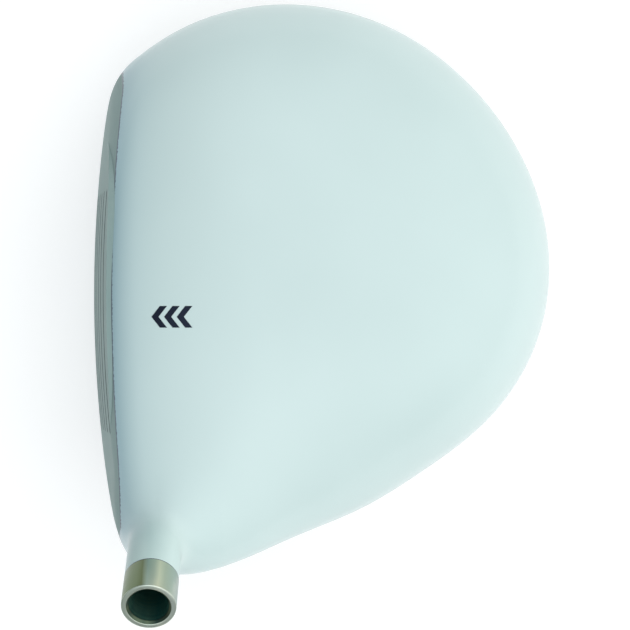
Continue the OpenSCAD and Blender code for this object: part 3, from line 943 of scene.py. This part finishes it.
socket = [
    (0, HEAD_LOW + SOCKET_DEPTH), (SOCKET_R, HEAD_LOW + SOCKET_DEPTH - 0.5), (SOCKET_R, HEAD_LOW + 0.3),
    (SOCKET_R + 0.12, HEAD_LOW + 0.08), (SOCKET_R + 0.4, HEAD_LOW), (SOCKET_R + 0.9, HEAD_LOW),
]
screw_head = [
    (5.2, HEAD_LOW), (6, HEAD_LOW), (6.25, HEAD_LOW + 0.07), (6.45, HEAD_LOW + 0.25), (6.55, HEAD_LOW + 0.5),
    (HEAD_R, HEAD_LOW + 0.8), (HEAD_R, UNDER_HEAD - 0.2), (6.52, UNDER_HEAD - 0.05), (6.4, UNDER_HEAD),
    (SCREW_ROOT, UNDER_HEAD),
]
SHANK_LENGTH, SHANK_STEPS = 7.7, 96
shank_places = range(SHANK_STEPS + 1)
shank = [(SCREW_ROOT, UNDER_HEAD + 0.02 + SHANK_LENGTH * k / SHANK_STEPS) for k in shank_places]
tip_z = UNDER_HEAD + SCREW_LENGTH
tip = [(SCREW_ROOT - 0.15, tip_z - 0.1), (SCREW_ROOT - 0.5, tip_z), (0, tip_z)]
screw_profile = socket + screw_head + shank + tip
screw = lathe("weight_bolt", screw_profile, port, [screw_steel], 96, radius=screw_radius)
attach(screw, "weight_screw")
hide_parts("weight_screw")

# ---------------------------------------------------------------------------------------------
# The mark on the crown: three plain chevrons that point to the face


MARK_X, MARK_Y = 5.4, -28.1
CHEVRON_HALF, CHEVRON_SWEEP, CHEVRON_WIDTH, CHEVRON_PITCH = 2.4, 1.9, 1.6, 2.85
COLUMNS, ROWS = 7, 5


def chevron_side(number, side):
    """Half a chevron as a grid of points on the crown, from its tip out to one side"""
    u, v = np.meshgrid(np.linspace(0, 1, COLUMNS), np.linspace(0, 1, ROWS), indexing="ij")
    x = MARK_X + side * CHEVRON_HALF * u
    y = MARK_Y + CHEVRON_PITCH * number + CHEVRON_SWEEP * u + CHEVRON_WIDTH * v
    return np.stack([x, y, crown_z(x, y)], -1).reshape(-1, 3)


mark_points, mark_tris = [], []
cell = (np.arange(COLUMNS - 1)[:, None] * ROWS + np.arange(ROWS - 1)).ravel()
cell_lower = np.stack([cell, cell + ROWS, cell + ROWS + 1], 1)
cell_upper = np.stack([cell, cell + ROWS + 1, cell + 1], 1)
cell_pairs = np.concatenate([cell_lower, cell_upper])
for number in range(3):
    for side in (-1, 1):
        first = sum(len(p) for p in mark_points)
        mark_points.append(chevron_side(number, side))
        mark_tris.append(first + (cell_pairs if side > 0 else cell_pairs[:, ::-1]))
mark_points = np.concatenate(mark_points)
mark_tris = np.concatenate(mark_tris)
lift = slope_of(head_gap, mark_points)
lift /= np.linalg.norm(lift, axis=1)[:, None]
MARK_LIFT, MARK_THICK = 0.06, 0.05
mark_top = mark_points + MARK_LIFT * lift
mark_mat = np.zeros(len(mark_tris), int)
mark = thick_piece("crown_mark", mark_top, mark_tris, lift, MARK_THICK, [navy], mark_mat)
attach(mark, "head")
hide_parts("alignment_mark")

# CAD pieces that keep their shape
for node, material in {
    "score_line_fill": line_paint, "hosel_plug": nylon, "hosel_brace": cast_metal, "toe_rib": cast_metal,
    "centre_rib": cast_metal, "heel_rib": cast_metal, "rear_weight_pad": cast_metal, "hot_melt_pad": glue,
}.items():
    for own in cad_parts[node].material_slots:
        own.material = material

# ---------------------------------------------------------------------------------------------
# Floor, light and camera

scene = bpy.context.scene
scene.view_settings.view_transform = "Standard"

floor_paint = Paint("studio_floor")
floor_paint.set(Roughness=0.8, Specular_IOR_Level=0.1, Emission_Strength=0.5, Emission_Color=(1.0, 1.0, 1.0))
speck = floor_paint.noise(floor_paint.placed((6, 6, 6)), 2)
floor_paint.into("Base Color", floor_paint.ramp(speck, (0.3, 0.60), (0.7, 0.63)))
FLOOR_HALF = 3000
floor_corners = [(x * FLOOR_HALF, y * FLOOR_HALF, 0) for x, y in ((-1, -1), (1, -1), (1, 1), (-1, 1))]
floor = make_object("floor", floor_corners, [(0, 1, 2, 3)], [floor_paint.mat])

world = bpy.data.worlds.new("studio")
scene.world = world
world.use_nodes = True
sky, wires = world.node_tree.nodes, world.node_tree.links


def sky_node(kind, **inputs):
    """A node of the sky. An input's key is its name, or its number after an underscore."""
    node = sky.new(kind)
    for key, v in inputs.items():
        socket = node.inputs[int(key[1:])] if key[1:].isdigit() else node.inputs[key]
        if isinstance(v, bpy.types.NodeSocket):
            wires.new(v, socket)
        else:
            socket.default_value = v
    return node


def glow(direction, start, end, amount):
    """Light that grows smoothly from start to end, the cosines of angles from a direction"""
    dot = sky_node("ShaderNodeVectorMath", _0=toward, _1=direction)
    dot.operation = "DOT_PRODUCT"
    ramp = sky_node("ShaderNodeMapRange", Value=dot.outputs["Value"])
    ramp.interpolation_type = "SMOOTHSTEP"
    ramp.inputs["From Min"].default_value = start
    ramp.inputs["From Max"].default_value = end
    ramp.inputs["To Max"].default_value = amount
    return ramp.outputs["Result"]


# Two large soft lights above, a soft one low at the toe, and a sky that is brighter to the rear
toward = sky_node("ShaderNodeTexCoord").outputs["Generated"]
light = 0.17
for part in (
    glow((0.04, 0.4, 0.915), 0.42, 0.95, 1.3), glow((0.6, -0.15, 0.785), 0.75, 0.98, 0.6),
    glow((-1, 0.2, 0), 0.2, 0.95, 0.3), glow((0, 1, 0), -0.7, 0.5, 0.11),
):
    light = sky_node("ShaderNodeMath", _0=part, _1=light).outputs[0]
wires.new(light, sky["Background"].inputs["Strength"])
tint = sky_node("ShaderNodeMix", Factor=glow((0, 1, 0), -0.6, 0.6, 1))
tint.data_type = "RGBA"
tint.inputs["A"].default_value = (0.90, 0.99, 1.05, 1)
tint.inputs["B"].default_value = (0.985, 1.0, 0.99, 1)
wires.new(tint.outputs["Result"], sky["Background"].inputs["Color"])

lens = bpy.data.cameras.new("camera")
lens.sensor_width = 36
lens.lens = 116.6
lens.clip_start = 0.01
camera = bpy.data.objects.new("camera", lens)
camera.location = (0.005, 0.0083, 0.511)
camera.rotation_euler = (0, 0, pi / 2)
scene.collection.objects.link(camera)
scene.camera = camera
